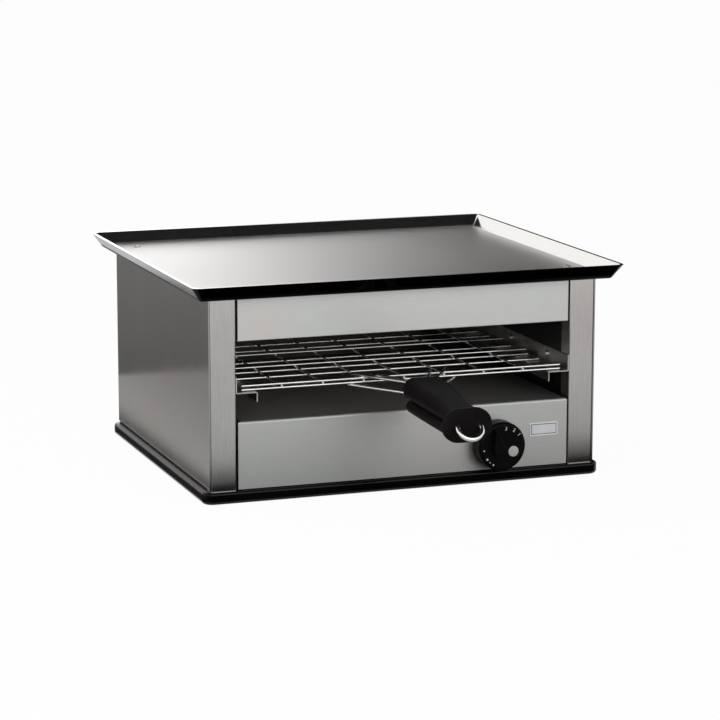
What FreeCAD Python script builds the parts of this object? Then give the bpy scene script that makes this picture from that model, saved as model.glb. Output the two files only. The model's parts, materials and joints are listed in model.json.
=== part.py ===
import FreeCAD, Part
import math
import os
from FreeCAD import Vector

# Gas toaster with a griddle on top, in millimetres.
# Origin: middle of the underside of the base. +X right, -Y towards the user, +Z up.

# Body
body_width = 450.0
body_depth = 380.0
body_height = 211.0
sheet = 1.2
side_sheet = 1.5
bend_inside = 1.5
panel_gap = 2.0
bottom_hem = 14.0
top_flange = 30.0

# Base tray
base_height = 13.5
base_sheet = 1.5
base_side_ledge = 7.0
base_front_ledge = 5.0
base_rim = 26.0
base_corner_radius = 12.0
base_edge_radius = 4.0
base_shoulder_radius = 3.0

# Griddle
griddle_thickness = 3.0
griddle_side_overhang = 13.0
griddle_end_overhang = 15.4
lip_run = 11.4
lip_rise = 13.4
griddle_bend_inside = 1.5
griddle_foot_radius = 4.0
griddle_rim_radius = 8.0
griddle_head = 7.6
griddle_head_height = 2.0
griddle_head_slot = 1.2
right_screw_inset = 7.5
right_screw_from_front = 62.0
left_screw_inset = 21.0
left_screw_from_back = 18.0
griddle_screw_length = 9.0
griddle_screw_thread = 3.5

# Front
post_face = 29.0
post_inner_return = 22.0
post_outer_return = 15.0
post_bend_inside = 0.8
fascia_height = 46.5
fascia_top_gap = 1.2
fascia_depth = 24.0
opening_height = 87.6
housing_bottom_gap = 1.0
housing_bend = 3.0
front_edge_radius = 0.8
panel_screw_inset = 11.0
panel_washer_diameter = 9.0

# Toasting space
cavity_back_inset = 50.0
back_wall_return = 14.0
back_wall_overlap = 20.0
liner_foot = 14.0
liner_behind = 6.0

# Rails that carry the rack
rail_web = 17.0
rail_flange = 24.0
rail_lip = 11.0
rail_above_housing = 31.3
rail_front_inset = 1.0
rail_bend_inside = 0.6
rail_screw_inset = 60.0
rail_screw_rows = 3

# Back panel
back_return = 14.0
vent_slot_length = 24.0
vent_slot_width = 5.0
vent_columns = 10
vent_pitch = 34.0
vent_rows = 2
vent_row_pitch = 13.0
vent_from_top = 24.0
back_screw_inset = 8.0

# Rack
wire = 2.4
weld_sink = 0.2
slide_clearance = 0.3
rack_side_clearance = 7.2
rack_front_inset = 8.0
rack_depth = 300.0
long_wire_pitch = 47.0
wire_tip = 0.8
low_cross_shares = (0.0, 0.195, 0.3, 0.473, 0.693, 0.8, 1.0)
high_cross_shares = (0.0, 0.32, 0.553, 1.0)

# Handle of the rack
leg_wire = 2.8
leg_bend = 6.0
leg_socket = 16.0
socket_clearance = 0.05
handle_reach = 53.0
outer_leg_start = 57.0
outer_leg_end = 12.0
outer_leg_back = 13.0
outer_leg_above_seam = 16.6
inner_leg_start = 34.0
inner_leg_end = 5.5
inner_leg_back = 6.0
inner_leg_above_seam = 16.6
low_leg_start = 63.0
low_leg_end = 13.0
low_leg_back = 3.0
low_leg_above_seam = 5.0
grip_length = 129.0
upper_rear_width = 49.0
upper_front_width = 38.0
upper_rear_height = 24.4
upper_front_height = 17.0
lower_rear_width = 42.0
lower_front_width = 38.0
lower_rear_height = 14.0
lower_front_height = 12.5
seam_above_rail = -8.3
seam_drop = 5.7
grip_end_radius = 3.0
collar_width = 55.0
collar_height = 36.0
collar_thickness = 8.0
collar_edge = 2.0
loop_wire = 5.6
loop_half_width = 13.0
loop_socket = 22.0
loop_neck = 2.4
loop_leg = 3.0
loop_bend = 5.6
loop_droop = 45.0
grip_screw_inset = 34.0
grip_screw_bite = 8.0
grip_screw_sink = 4.0

# Knob and valve
knob_from_right_edge = 85.8
knob_above_housing_bottom = 29.5
knob_diameter = 55.0
knob_depth = 19.0
knob_panel_gap = 3.0
knob_edge = 4.0
wing_root_radius = 7.0
wing_root_left = 6.0
wing_root_below = 2.0
wing_tip_radius = 1.6
wing_tip_left = 10.0
wing_tip_above = 18.6
wing_height = 8.0
wing_edge = 1.4
dot_diameter = 11.8
dot_from_centre = 13.5
dot_angle = -25.0
dot_depth = 1.6
dot_proud = 0.4
spindle_diameter = 8.0
spindle_in_knob = 14.0
spindle_shoulder = 11.0
spindle_shoulder_length = 4.0
spindle_tail = 12.0
running_clearance = 0.05
spindle_hole_clearance = 1.5
push_travel = 2.5
boss_diameter = 20.0
boss_length = 9.0
bonnet_diameter = 32.0
bonnet_thickness = 6.0
valve_width = 36.0
valve_depth = 40.0
valve_height = 34.0
chamber_diameter = 16.1
chamber_depth = 34.0
seat_thickness = 3.0
spring_mean = 12.0
spring_wire = 1.2
spring_turns = 5
spring_clearance = 0.3
gas_passage = 5.0
bracket_width = 28.0
bracket_top_tab = 18.0
bracket_low_tab = 20.0
valve_screw_bite = 7.0
valve_screw_spacing = 14.0

# Plate beside the knob
plate_width = 34.0
plate_height = 15.0
plate_thickness = 0.8
plate_corner = 1.6
plate_from_right_edge = 28.1
plate_above_housing_bottom = 41.5

# Gas line
inlet_pipe_diameter = 10.0
supply_pipe_diameter = 8.0
pipe_hole_clearance = 1.0
pipe_bend = 16.0
inlet_pipe_side_step = 25.8
inlet_port_from_back = 16.0
pipe_nut_over_pipe = 7.0
pipe_nut_length = 9.0
inlet_thread = 20.95
inlet_length = 16.0
inlet_groove_width = 1.2
inlet_groove_depth = 1.2
inlet_bore = 8.0
inlet_hex = 27.0
inlet_hex_length = 8.0
lock_nut_height = 5.0
probe_diameter = 5.0
probe_length = 42.0
probe_left = 60.0
probe_below_tiles = 3.0
probe_from_back_wall = 120.0
lead_diameter = 3.0
lead_bend = 12.0
lead_behind_wall = 17.0
lead_beside_knob = 14.0
lead_above_knob = 9.0

# Burner
tile_length = 132.0
tile_width = 92.0
tile_thickness = 12.0
tile_rows = 2
tile_columns = 2
tile_gap = 0.6
tile_border = 4.0
burner_height = 36.0
burner_below_griddle = 8.0
burner_from_front = 60.0
mixing_tube_diameter = 20.0
mixing_tube_wall = 1.0
injector_hex = 12.0
injector_length = 14.0
injector_gap = 6.0
injector_nozzle = 1.5
elbow = 14.0
injector_bracket_drop = 34.0
hanger_width = 80.0
hanger_drop = 20.0
hanger_overlap = 20.0

# Fasteners
screw_thread = 4.0
screw_clearance = 0.2
screw_head = 7.0
screw_head_height = 2.4
screw_bite = 4.0
nut_across = 7.0
nut_height = 3.0
base_screw_from_end = 40.0

# Places worked out from the sizes above
half_width = body_width / 2
front = -body_depth / 2
back = body_depth / 2
base_top = base_height
body_top = base_top + body_height
side_inner = half_width - side_sheet
post_inner = side_inner - post_face
post_return_end = front + post_inner_return
panel_half = post_inner - panel_gap
housing_bottom = base_top + housing_bottom_gap
fascia_top = body_top - fascia_top_gap
fascia_bottom = fascia_top - fascia_height
housing_top = fascia_bottom - opening_height
cavity_back = back - cavity_back_inset
cavity_wall_rear = cavity_back + sheet
griddle_top = body_top + griddle_thickness
rail_top = housing_top + rail_above_housing
rail_web_inner = post_inner - sheet
rack_half = rail_web_inner - rack_side_clearance
rack_front = front + rack_front_inset
low_wire_z = rail_top + slide_clearance + wire / 2
long_wire_z = low_wire_z + wire - weld_sink
high_wire_z = long_wire_z + wire - weld_sink
grip_rear = front - handle_reach
grip_front = grip_rear - grip_length
collar_rear = grip_front + collar_thickness
seam_rear_z = rail_top + seam_above_rail
seam_front_z = seam_rear_z - seam_drop
grip_middle_z = seam_front_z + (upper_front_height - lower_front_height) / 2
knob_x = panel_half - knob_from_right_edge
knob_z = housing_bottom + knob_above_housing_bottom
knob_base = front - knob_panel_gap
knob_face = knob_base - knob_depth
panel_inner = front + sheet
bonnet_front = panel_inner + boss_length
valve_front = bonnet_front + bonnet_thickness
valve_back = valve_front + valve_depth
seat_front = valve_front + spindle_shoulder_length
seat_back = seat_front + seat_thickness
chamber_end = valve_front + chamber_depth
inlet_x = knob_x + valve_width / 2 + inlet_pipe_side_step
inlet_port_y = valve_back - inlet_port_from_back
connector_front = back - sheet - inlet_hex_length
tile_pack_x = tile_columns * (tile_length + tile_gap) + tile_gap
tile_pack_y = tile_rows * (tile_width + tile_gap) + tile_gap
burner_half_x = tile_pack_x / 2 + sheet
burner_front = front + burner_from_front
burner_rear = burner_front + tile_pack_y + 2 * sheet
burner_top = body_top - burner_below_griddle
burner_bottom = burner_top - burner_height
mixing_z = burner_top - sheet - mixing_tube_diameter / 2
injector_front = cavity_wall_rear + injector_gap
elbow_front = injector_front + injector_length
riser_y = elbow_front + elbow / 2
probe_z = burner_bottom - sheet - probe_below_tiles
lead_y = cavity_wall_rear + lead_behind_wall
lead_x = knob_x - lead_beside_knob
lead_z = knob_z + lead_above_knob


# Shapes used by several pieces

def block(x0, x1, y0, y1, z0, z1):
    return Part.makeBox(x1 - x0, y1 - y0, z1 - z0, Vector(x0, y0, z0))


def rod(start, end, diameter):
    start = Vector(*start)
    end = Vector(*end)
    return Part.makeCylinder(diameter / 2, (end - start).Length, start, end - start)


def mirrored(shape):
    return shape.mirror(Vector(0, 0, 0), Vector(1, 0, 0))


def joined(shapes):
    return shapes[0].fuse(shapes[1:]).removeSplitter()


def cut_all(shape, tools):
    return shape.cut(Part.makeCompound(tools))


def both_sides(shapes):
    return shapes + [mirrored(shape) for shape in shapes]


def edges_where(shape, test):
    return [edge for edge in shape.Edges if test(edge.BoundBox)]


def stand_up(shape, x, y, z):
    """Turns a flat XY shape to face the user, so that its own Z points to the front."""
    shape.Placement = FreeCAD.Placement(Vector(x, y, z), FreeCAD.Rotation(Vector(1, 0, 0), 90))
    return shape


def rounded_outline(half_x, half_y, radius, z):
    """Closed wire of a level rectangle with round corners."""
    corners = ((1, 1, 0), (-1, 1, 90), (-1, -1, 180), (1, -1, 270))
    arcs = []
    for sx, sy, angle in corners:
        middle = Vector(sx * (half_x - radius), sy * (half_y - radius), z)
        turns = [math.radians(angle + part) for part in (0, 45, 90)]
        arcs.append([middle + Vector(radius * math.cos(a), radius * math.sin(a), 0) for a in turns])
    edges = []
    for points, following in zip(arcs, arcs[1:] + arcs[:1]):
        edges.append(Part.Arc(*points).toShape())
        edges.append(Part.LineSegment(points[2], following[0]).toShape())
    return Part.Wire(edges)


def rounded_block(half_x, half_y, radius, z0, z1):
    face = Part.Face(rounded_outline(half_x, half_y, radius, z0))
    return face.extrude(Vector(0, 0, z1 - z0))


def oval_outline(length, width):
    """Closed flat wire with straight long sides and half-round ends, around the origin."""
    radius = width / 2
    reach = length / 2 - radius
    arcs = []
    for side, first in ((1, -90), (1, 0), (-1, 90), (-1, 180)):
        turns = [math.radians(first + part) for part in (0, 45, 90)]
        arcs.append([Vector(side * reach + radius * math.cos(a), radius * math.sin(a), 0) for a in turns])
    edges = [Part.Arc(*points).toShape() for points in arcs]
    top = Part.LineSegment(arcs[1][2], arcs[2][0]).toShape()
    bottom = Part.LineSegment(arcs[3][2], arcs[0][0]).toShape()
    return Part.Wire([edges[0], edges[1], top, edges[2], edges[3], bottom])


def oval_block(length, width, height):
    return Part.Face(oval_outline(length, width)).extrude(Vector(0, 0, height))


def hex_bar(start, axis, across, length):
    corner = across / math.sqrt(3)
    turns = [math.radians(60 * i) for i in range(7)]
    outline = Part.makePolygon([Vector(corner * math.cos(a), corner * math.sin(a), 0) for a in turns])
    bar = Part.Face(outline).extrude(Vector(0, 0, length))
    bar.Placement = FreeCAD.Placement(Vector(*start), FreeCAD.Rotation(Vector(0, 0, 1), Vector(*axis)))
    return bar


def screw(seat, direction, length):
    """Screw whose head sits on the seat point and whose thread runs along the direction."""
    seat = Vector(*seat)
    direction = Vector(*direction)
    thread = Part.makeCylinder(screw_thread / 2, length, seat, direction)
    head = Part.makeCylinder(screw_head / 2, screw_head_height, seat, direction * -1)
    return joined([head, thread])


def in_plane(plane, u, v, w):
    places = {"xz": (u, w, v), "yz": (w, u, v), "xy": (u, v, w)}
    return Vector(*places[plane])


def folded_sheet(points, plane, start, end, thickness=sheet, inside=bend_inside):
    """Sheet whose middle line follows the points, with round bends, from start to end."""
    radius = inside + thickness / 2
    runs = []
    for (u0, v0), (u1, v1) in zip(points, points[1:]):
        length = math.hypot(u1 - u0, v1 - v0)
        runs.append(((u1 - u0) / length, (v1 - v0) / length))
    sides = []
    for shift in (thickness / 2, -thickness / 2):
        (u, v), (du, dv) = points[0], runs[0]
        edges = []
        first_end = in_plane(plane, u - dv * shift, v + du * shift, start)
        here = first_end
        for (u, v), (au, av), (bu, bv) in zip(points[1:-1], runs, runs[1:]):
            turn = math.atan2(au * bv - av * bu, au * bu + av * bv)
            side = math.copysign(1, turn)
            cut = radius * math.tan(abs(turn) / 2)
            centre_u = u - au * cut - av * side * radius
            centre_v = v - av * cut + au * side * radius
            reach = (radius - side * shift) / math.hypot(u - centre_u, v - centre_v)
            into = in_plane(plane, u - au * cut - av * shift, v - av * cut + au * shift, start)
            middle = in_plane(plane, centre_u + (u - centre_u) * reach,
                              centre_v + (v - centre_v) * reach, start)
            out = in_plane(plane, u + bu * cut - bv * shift, v + bv * cut + bu * shift, start)
            edges.append(Part.LineSegment(here, into).toShape())
            edges.append(Part.Arc(into, middle, out).toShape())
            here = out
        (u, v), (du, dv) = points[-1], runs[-1]
        last_end = in_plane(plane, u - dv * shift, v + du * shift, start)
        edges.append(Part.LineSegment(here, last_end).toShape())
        sides.append((edges, first_end, last_end))
    (upper, upper_first, upper_last), (lower, lower_first, lower_last) = sides
    closing = [Part.LineSegment(upper_last, lower_last).toShape(),
               Part.LineSegment(lower_first, upper_first).toShape()]
    outline = Part.Wire(Part.sortEdges(upper + lower + closing)[0])
    return Part.Face(outline).extrude(in_plane(plane, 0, 0, end - start))


def bent_rod(points, diameter, radius):
    """Round bar through the points, with one arc of the given radius at each turn."""
    places = [Vector(*point) for point in points]
    edges = []
    here = places[0]
    for before, corner, after in zip(places, places[1:], places[2:]):
        into = (corner - before).normalize()
        out = (after - corner).normalize()
        half_turn = into.getAngle(out) / 2
        inward = (out - into).normalize()
        first = corner - into * (radius * math.tan(half_turn))
        last = corner + out * (radius * math.tan(half_turn))
        middle = corner + inward * (radius / math.cos(half_turn) - radius)
        edges.append(Part.LineSegment(here, first).toShape())
        edges.append(Part.Arc(first, middle, last).toShape())
        here = last
    edges.append(Part.LineSegment(here, places[-1]).toShape())
    section = Part.Wire(Part.Circle(places[0], places[1] - places[0], diameter / 2).toShape())
    return Part.Wire(edges).makePipeShell([section], True, False)


# Base and shell

def base_tray():
    half_x = half_width + base_side_ledge
    half_y = body_depth / 2 + base_front_ledge
    inner_radius = base_corner_radius - base_edge_radius
    under_flange = base_height - base_sheet
    tray = rounded_block(half_x, half_y, base_corner_radius, 0, base_height)
    tray = tray.makeFillet(base_edge_radius, edges_where(tray, lambda b: b.ZMax < base_sheet / 2))
    shoulders = edges_where(tray, lambda b: b.ZMin > base_height - base_sheet / 2)
    tray = tray.makeFillet(base_shoulder_radius, shoulders)
    hollow = rounded_block(half_x - base_edge_radius, half_y - base_edge_radius, inner_radius,
                           base_sheet, under_flange)
    window = rounded_block(half_x - base_rim, half_y - base_rim, base_corner_radius,
                           under_flange, base_height)
    holes = [rod((x, y, under_flange), (x, y, base_height), screw_thread) for x, y in base_screw_places()]
    return cut_all(tray, [hollow, window] + holes)


def base_screw_places():
    x = half_width - bottom_hem / 2
    y = body_depth / 2 - base_screw_from_end
    return [(sx * x, sy * y) for sx in (1, -1) for sy in (1, -1)]


def base_screws():
    hem_top = base_top + side_sheet
    return [screw((x, y, hem_top), (0, 0, -1), side_sheet + base_sheet + screw_bite)
            for x, y in base_screw_places()]


def side_panel():
    """Right side panel, with its hem and flange relieved behind the front post."""
    middle_x = half_width - side_sheet / 2
    low_z = base_top + side_sheet / 2
    high_z = body_top - side_sheet / 2
    panel = folded_sheet([(half_width - bottom_hem, low_z), (middle_x, low_z),
                          (middle_x, high_z), (half_width - top_flange, high_z)],
                         "xz", front, back, side_sheet)
    bend = side_sheet + bend_inside
    relief_inner = half_width - top_flange
    low_relief = block(relief_inner, side_inner, front, post_return_end, base_top, base_top + bend)
    high_relief = block(relief_inner, side_inner, front, post_return_end, body_top - bend, body_top)
    return cut_all(panel, [low_relief, high_relief] + vertical_holes())


def vertical_holes():
    """Holes through the hems and flanges of both side panels."""
    wide = screw_thread + screw_clearance
    hem_top = base_top + side_sheet
    holes = [rod((x, y, base_top), (x, y, hem_top), wide) for x, y in base_screw_places()]
    for x, y in back_screw_places():
        holes.append(rod((x, y, base_top), (x, y, hem_top), screw_thread))
        holes.append(rod((x, y, body_top - side_sheet), (x, y, body_top), screw_thread))
    return holes


def griddle_screw_places():
    return {"right": (half_width - right_screw_inset, front + right_screw_from_front),
            "left": (left_screw_inset - half_width, back - left_screw_from_back)}


def griddle_hole(side):
    x, y = griddle_screw_places()[side]
    return rod((x, y, body_top - side_sheet), (x, y, griddle_top), griddle_screw_thread + screw_clearance)


def side_panel_right():
    return side_panel().cut(griddle_hole("right"))


def side_panel_left():
    return mirrored(side_panel()).cut(griddle_hole("left"))


def back_panel():
    low = base_top + side_sheet
    high = body_top - side_sheet
    pan = block(-side_inner, side_inner, back - back_return, back, low, high)
    corners = edges_where(pan, lambda b: b.XLength < sheet and b.ZLength < sheet)
    pan = pan.makeFillet(bend_inside, corners)
    hollow = block(sheet - side_inner, side_inner - sheet, back - back_return, back - sheet,
                   low + sheet, high - sheet)
    slots = []
    for row in range(vent_rows):
        for column in range(vent_columns):
            x = (column - (vent_columns - 1) / 2) * vent_pitch
            z = high - vent_from_top - row * vent_row_pitch
            slots.append(stand_up(oval_block(vent_slot_length, vent_slot_width, sheet), x, back, z))
    inlet = rod((inlet_x, back - sheet, knob_z), (inlet_x, back, knob_z), inlet_thread + screw_clearance)
    wide = screw_thread + screw_clearance
    holes = []
    for x, y in back_screw_places():
        holes += [rod((x, y, low), (x, y, low + sheet), wide), rod((x, y, high - sheet), (x, y, high), wide)]
    return cut_all(pan, [hollow, inlet] + slots + holes)


def back_screw_places():
    x = half_width - bottom_hem / 2
    y = back - back_screw_inset
    return [(x, y), (-x, y)]


def back_panel_screws():
    low = base_top + side_sheet + sheet
    high = body_top - side_sheet - sheet
    length = sheet + side_sheet
    screws = [screw((x, y, low), (0, 0, -1), length) for x, y in back_screw_places()]
    return screws + [screw((x, y, high), (0, 0, 1), length) for x, y in back_screw_places()]


# Griddle

def griddle_plate():
    foot_x = half_width + griddle_side_overhang
    foot_y = body_depth / 2 + griddle_end_overhang
    rise = griddle_thickness + lip_rise
    lip_wall = griddle_thickness * math.hypot(rise, lip_run) / rise
    floor_step = lip_run * griddle_thickness / rise - lip_wall
    rim_step = lip_run - lip_wall
    rim_z = body_top + rise
    outer = Part.makeLoft([rounded_outline(foot_x, foot_y, griddle_foot_radius, body_top),
                           rounded_outline(foot_x + lip_run, foot_y + lip_run, griddle_rim_radius, rim_z)],
                          True, True)
    foot_edges = edges_where(outer, lambda b: b.ZMax < body_top + griddle_thickness / 2)
    outer = outer.makeFillet(griddle_bend_inside + griddle_thickness, foot_edges)
    inner = Part.makeLoft([rounded_outline(foot_x + floor_step, foot_y + floor_step,
                                           griddle_foot_radius, griddle_top),
                           rounded_outline(foot_x + rim_step, foot_y + rim_step,
                                           griddle_rim_radius - lip_wall / 2, rim_z)],
                          True, True)
    floor_edges = edges_where(inner, lambda b: b.ZMax < griddle_top + griddle_thickness / 2)
    inner = inner.makeFillet(griddle_bend_inside, floor_edges)
    return cut_all(outer, [inner, griddle_hole("right"), griddle_hole("left")])


def griddle_screws():
    screws = []
    for x, y in griddle_screw_places().values():
        top = griddle_top + griddle_head_height
        dome = Part.makeSphere(griddle_head, Vector(x, y, top - griddle_head))
        head = rod((x, y, griddle_top), (x, y, top), griddle_head).common(dome)
        slot = block(x - griddle_head, x + griddle_head, y - griddle_head_slot / 2, y + griddle_head_slot / 2,
                     griddle_top + griddle_head_height / 2, top)
        thread = rod((x, y, griddle_top - griddle_screw_length), (x, y, griddle_top), griddle_screw_thread)
        screws.append(joined([head.cut(slot), thread]))
    return screws


def griddle_nuts():
    nuts = []
    for x, y in griddle_screw_places().values():
        top = body_top - side_sheet
        bar = hex_bar((x, y, top - nut_height), (0, 0, 1), nut_across, nut_height)
        nuts.append(bar.cut(rod((x, y, top - nut_height), (x, y, top), griddle_screw_thread)))
    return nuts


# Front of the body

def front_post():
    inner = post_inner + sheet / 2
    outer = side_inner - sheet / 2
    face = front + sheet / 2
    post = folded_sheet([(inner, post_return_end), (inner, face), (outer, face),
                         (outer, front + post_outer_return)],
                        "xy", base_top, body_top, sheet, post_bend_inside)
    return cut_all(post, panel_screw_holes())


def panel_screw_heights():
    housing_third = (housing_top - housing_bottom) / 3
    fascia_quarter = fascia_height / 4
    return (housing_bottom + housing_third, housing_top - housing_third / 2,
            fascia_bottom + fascia_quarter, fascia_top - fascia_quarter)


def panel_screw_holes():
    y = front + panel_screw_inset
    reach = panel_half - sheet
    return [rod((reach, y, z), (post_inner + sheet, y, z), screw_thread + screw_clearance)
            for z in panel_screw_heights()]


def panel_screws():
    y = front + panel_screw_inset
    length = sheet + panel_gap + sheet + nut_height
    return both_sides([screw((post_inner + sheet, y, z), (-1, 0, 0), length) for z in panel_screw_heights()])


def panel_washers():
    y = front + panel_screw_inset
    washers = []
    for z in panel_screw_heights():
        ring = rod((panel_half, y, z), (post_inner, y, z), panel_washer_diameter)
        washers.append(ring.cut(rod((panel_half, y, z), (post_inner, y, z), screw_thread + screw_clearance)))
    return both_sides(washers)


def panel_nuts():
    y = front + panel_screw_inset
    x = panel_half - sheet
    nuts = []
    for z in panel_screw_heights():
        bar = hex_bar((x, y, z), (-1, 0, 0), nut_across, nut_height)
        nuts.append(bar.cut(rod((x, y, z), (x - nut_height, y, z), screw_thread)))
    return both_sides(nuts)


def upper_fascia():
    pan = block(-panel_half, panel_half, front, front + fascia_depth, fascia_bottom, fascia_top)
    pan = pan.makeFillet(front_edge_radius, edges_where(pan, lambda b: b.YMax < panel_inner))
    hollow = block(sheet - panel_half, panel_half - sheet, panel_inner, front + fascia_depth,
                   fascia_bottom + sheet, fascia_top - sheet)
    return cut_all(pan, [hollow] + both_sides(panel_screw_holes()))


def lower_housing():
    box = block(-panel_half, panel_half, front, cavity_back, housing_bottom, housing_top)
    bends = edges_where(box, lambda b: b.ZMin > housing_top - sheet
                        and (b.YMax < panel_inner or b.XLength < sheet))
    box = box.makeFillet(housing_bend, bends)
    hollow = block(sheet - panel_half, panel_half - sheet, panel_inner, cavity_back - sheet,
                   housing_bottom, housing_top - sheet)
    inner_bends = edges_where(hollow, lambda b: b.ZMin > housing_bottom + sheet
                              and (b.YMax < panel_inner + sheet or b.XLength < sheet))
    hollow = hollow.makeFillet(housing_bend - sheet, inner_bends)
    spindle_hole = rod((knob_x, front, knob_z), (knob_x, panel_inner, knob_z),
                       spindle_diameter + 2 * spindle_hole_clearance)
    return cut_all(box, [hollow, spindle_hole] + pipe_holes() + both_sides(panel_screw_holes()))


def pipe_holes():
    """Holes in the back wall of the housing for the two pipes and the probe lead."""
    holes = []
    for x, z, diameter in ((inlet_x, knob_z, inlet_pipe_diameter), (knob_x, knob_z, supply_pipe_diameter),
                           (lead_x, lead_z, lead_diameter)):
        wide = diameter + 2 * pipe_hole_clearance
        holes.append(rod((x, cavity_back - sheet, z), (x, cavity_back, z), wide))
    return holes


def blank_plate():
    plate = rounded_block(plate_width / 2, plate_height / 2, plate_corner, 0, plate_thickness)
    return stand_up(plate, panel_half - plate_from_right_edge, front,
                    housing_bottom + plate_above_housing_bottom)


# Toasting space

def side_liner():
    middle = post_inner + sheet / 2
    liner = folded_sheet([(post_inner + liner_foot, base_top + sheet / 2), (middle, base_top + sheet / 2),
                          (middle, body_top - side_sheet)],
                         "xz", post_return_end, cavity_back + liner_behind)
    return cut_all(liner, rail_screw_holes() + hanger_screw_holes())


def rail():
    web_x = post_inner - sheet / 2
    flange_z = rail_top - sheet / 2
    lip_x = post_inner - rail_flange
    profile = [(web_x, rail_top + rail_web), (web_x, flange_z), (lip_x, flange_z),
               (lip_x, rail_top - rail_lip)]
    shape = folded_sheet(profile, "xz", front + rail_front_inset, cavity_back, sheet, rail_bend_inside)
    return cut_all(shape, rail_screw_holes())


def rail_screw_places():
    first = front + rail_screw_inset
    last = cavity_back - rail_screw_inset
    step = (last - first) / (rail_screw_rows - 1)
    z = rail_top + rail_web / 2
    return [(first + step * i, z) for i in range(rail_screw_rows)]


def rail_screw_holes():
    return [rod((rail_web_inner, y, z), (post_inner + sheet, y, z), screw_thread)
            for y, z in rail_screw_places()]


def rail_screws():
    return both_sides([screw((rail_web_inner, y, z), (1, 0, 0), 2 * sheet + screw_bite)
                       for y, z in rail_screw_places()])


def cavity_back_wall():
    low = housing_top - back_wall_overlap
    high = body_top - side_sheet
    rear = cavity_back + back_wall_return
    pan = block(-post_inner, post_inner, cavity_back, rear, low, high)
    hollow = block(sheet - post_inner, post_inner - sheet, cavity_wall_rear, rear, low + sheet, high - sheet)
    tube_hole = rod((0, cavity_back, mixing_z), (0, cavity_wall_rear, mixing_z), mixing_tube_diameter)
    lead_hole = rod((-probe_left, cavity_back, probe_z), (-probe_left, cavity_wall_rear, probe_z),
                    lead_diameter)
    return cut_all(pan, [hollow, tube_hole, lead_hole])


# Burner

def burner_box():
    box = block(-burner_half_x, burner_half_x, burner_front, burner_rear, burner_bottom, burner_top)
    hollow = block(sheet - burner_half_x, burner_half_x - sheet, burner_front + sheet, burner_rear - sheet,
                   burner_bottom, burner_top - sheet)
    tube_hole = rod((0, burner_rear - sheet, mixing_z), (0, burner_rear, mixing_z), mixing_tube_diameter)
    return cut_all(box, [hollow, tube_hole])


def tile_corners():
    first_x = tile_gap - tile_pack_x / 2
    first_y = burner_front + sheet + tile_gap
    return [(first_x + column * (tile_length + tile_gap), first_y + row * (tile_width + tile_gap))
            for row in range(tile_rows) for column in range(tile_columns)]


def burner_tiles():
    return [block(x, x + tile_length, y, y + tile_width, burner_bottom, burner_bottom + tile_thickness)
            for x, y in tile_corners()]


def tile_frame():
    low = burner_bottom - sheet
    frame = block(-burner_half_x, burner_half_x, burner_front, burner_rear, low, burner_bottom)
    windows = [block(x + tile_border, x + tile_length - tile_border, y + tile_border,
                     y + tile_width - tile_border, low, burner_bottom) for x, y in tile_corners()]
    return cut_all(frame, windows)


def burner_hanger():
    web_x = post_inner - sheet / 2
    arm_z = burner_top + sheet / 2
    middle_y = (burner_front + burner_rear) / 2
    profile = [(web_x, burner_top - hanger_drop), (web_x, arm_z), (burner_half_x - hanger_overlap, arm_z)]
    shape = folded_sheet(profile, "xz", middle_y - hanger_width / 2, middle_y + hanger_width / 2)
    return cut_all(shape, hanger_screw_holes())


def hanger_screw_places():
    middle_y = (burner_front + burner_rear) / 2
    z = burner_top - hanger_drop / 2
    return [(middle_y - hanger_width / 4, z), (middle_y + hanger_width / 4, z)]


def hanger_screw_holes():
    return [rod((rail_web_inner, y, z), (post_inner + sheet, y, z), screw_thread)
            for y, z in hanger_screw_places()]


def hanger_screws():
    return both_sides([screw((rail_web_inner, y, z), (1, 0, 0), 2 * sheet + screw_bite)
                       for y, z in hanger_screw_places()])


def mixing_tube():
    start = (0, burner_rear - sheet, mixing_z)
    end = (0, cavity_wall_rear, mixing_z)
    bore = rod(start, end, mixing_tube_diameter - 2 * mixing_tube_wall)
    return rod(start, end, mixing_tube_diameter).cut(bore)


def injector():
    """Nozzle with a square elbow behind it, fed from the right."""
    nozzle = hex_bar((0, injector_front, mixing_z), (0, 1, 0), injector_hex, injector_length)
    half = elbow / 2
    corner = block(-half, half, elbow_front, elbow_front + elbow, mixing_z - half, mixing_z + half)
    jet = rod((0, injector_front, mixing_z), (0, riser_y, mixing_z), injector_nozzle)
    feed = rod((0, riser_y, mixing_z), (half, riser_y, mixing_z), gas_passage)
    return cut_all(joined([nozzle, corner]), [jet, feed])


def injector_bracket():
    wall_y = cavity_wall_rear + sheet / 2
    step_y = (cavity_wall_rear + elbow_front) / 2
    step_z = mixing_z - mixing_tube_diameter / 2 - sheet
    shelf_z = mixing_z - elbow / 2 - sheet / 2
    profile = [(wall_y, step_z - injector_bracket_drop), (wall_y, step_z), (step_y, step_z),
               (step_y, shelf_z), (elbow_front + elbow, shelf_z)]
    return folded_sheet(profile, "yz", -elbow / 2, elbow / 2, sheet, sheet / 2)


def flame_probe():
    """Probe under the tiles, with its lead back through the wall and down to the valve."""
    tip = cavity_back - probe_from_back_wall
    route = [(-probe_left, tip + probe_length, probe_z), (-probe_left, lead_y, probe_z),
             (-probe_left, lead_y, lead_z), (lead_x, lead_y, lead_z), (lead_x, valve_back, lead_z)]
    lead = bent_rod(route, lead_diameter, lead_bend)
    probe = rod((-probe_left, tip, probe_z), (-probe_left, tip + probe_length, probe_z), probe_diameter)
    return joined([probe, lead])


# Gas line and valve

def supply_pipe():
    route = [(knob_x, valve_back, knob_z), (knob_x, riser_y, knob_z), (knob_x, riser_y, mixing_z),
             (elbow / 2, riser_y, mixing_z)]
    return bent_rod(route, supply_pipe_diameter, pipe_bend)


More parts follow.
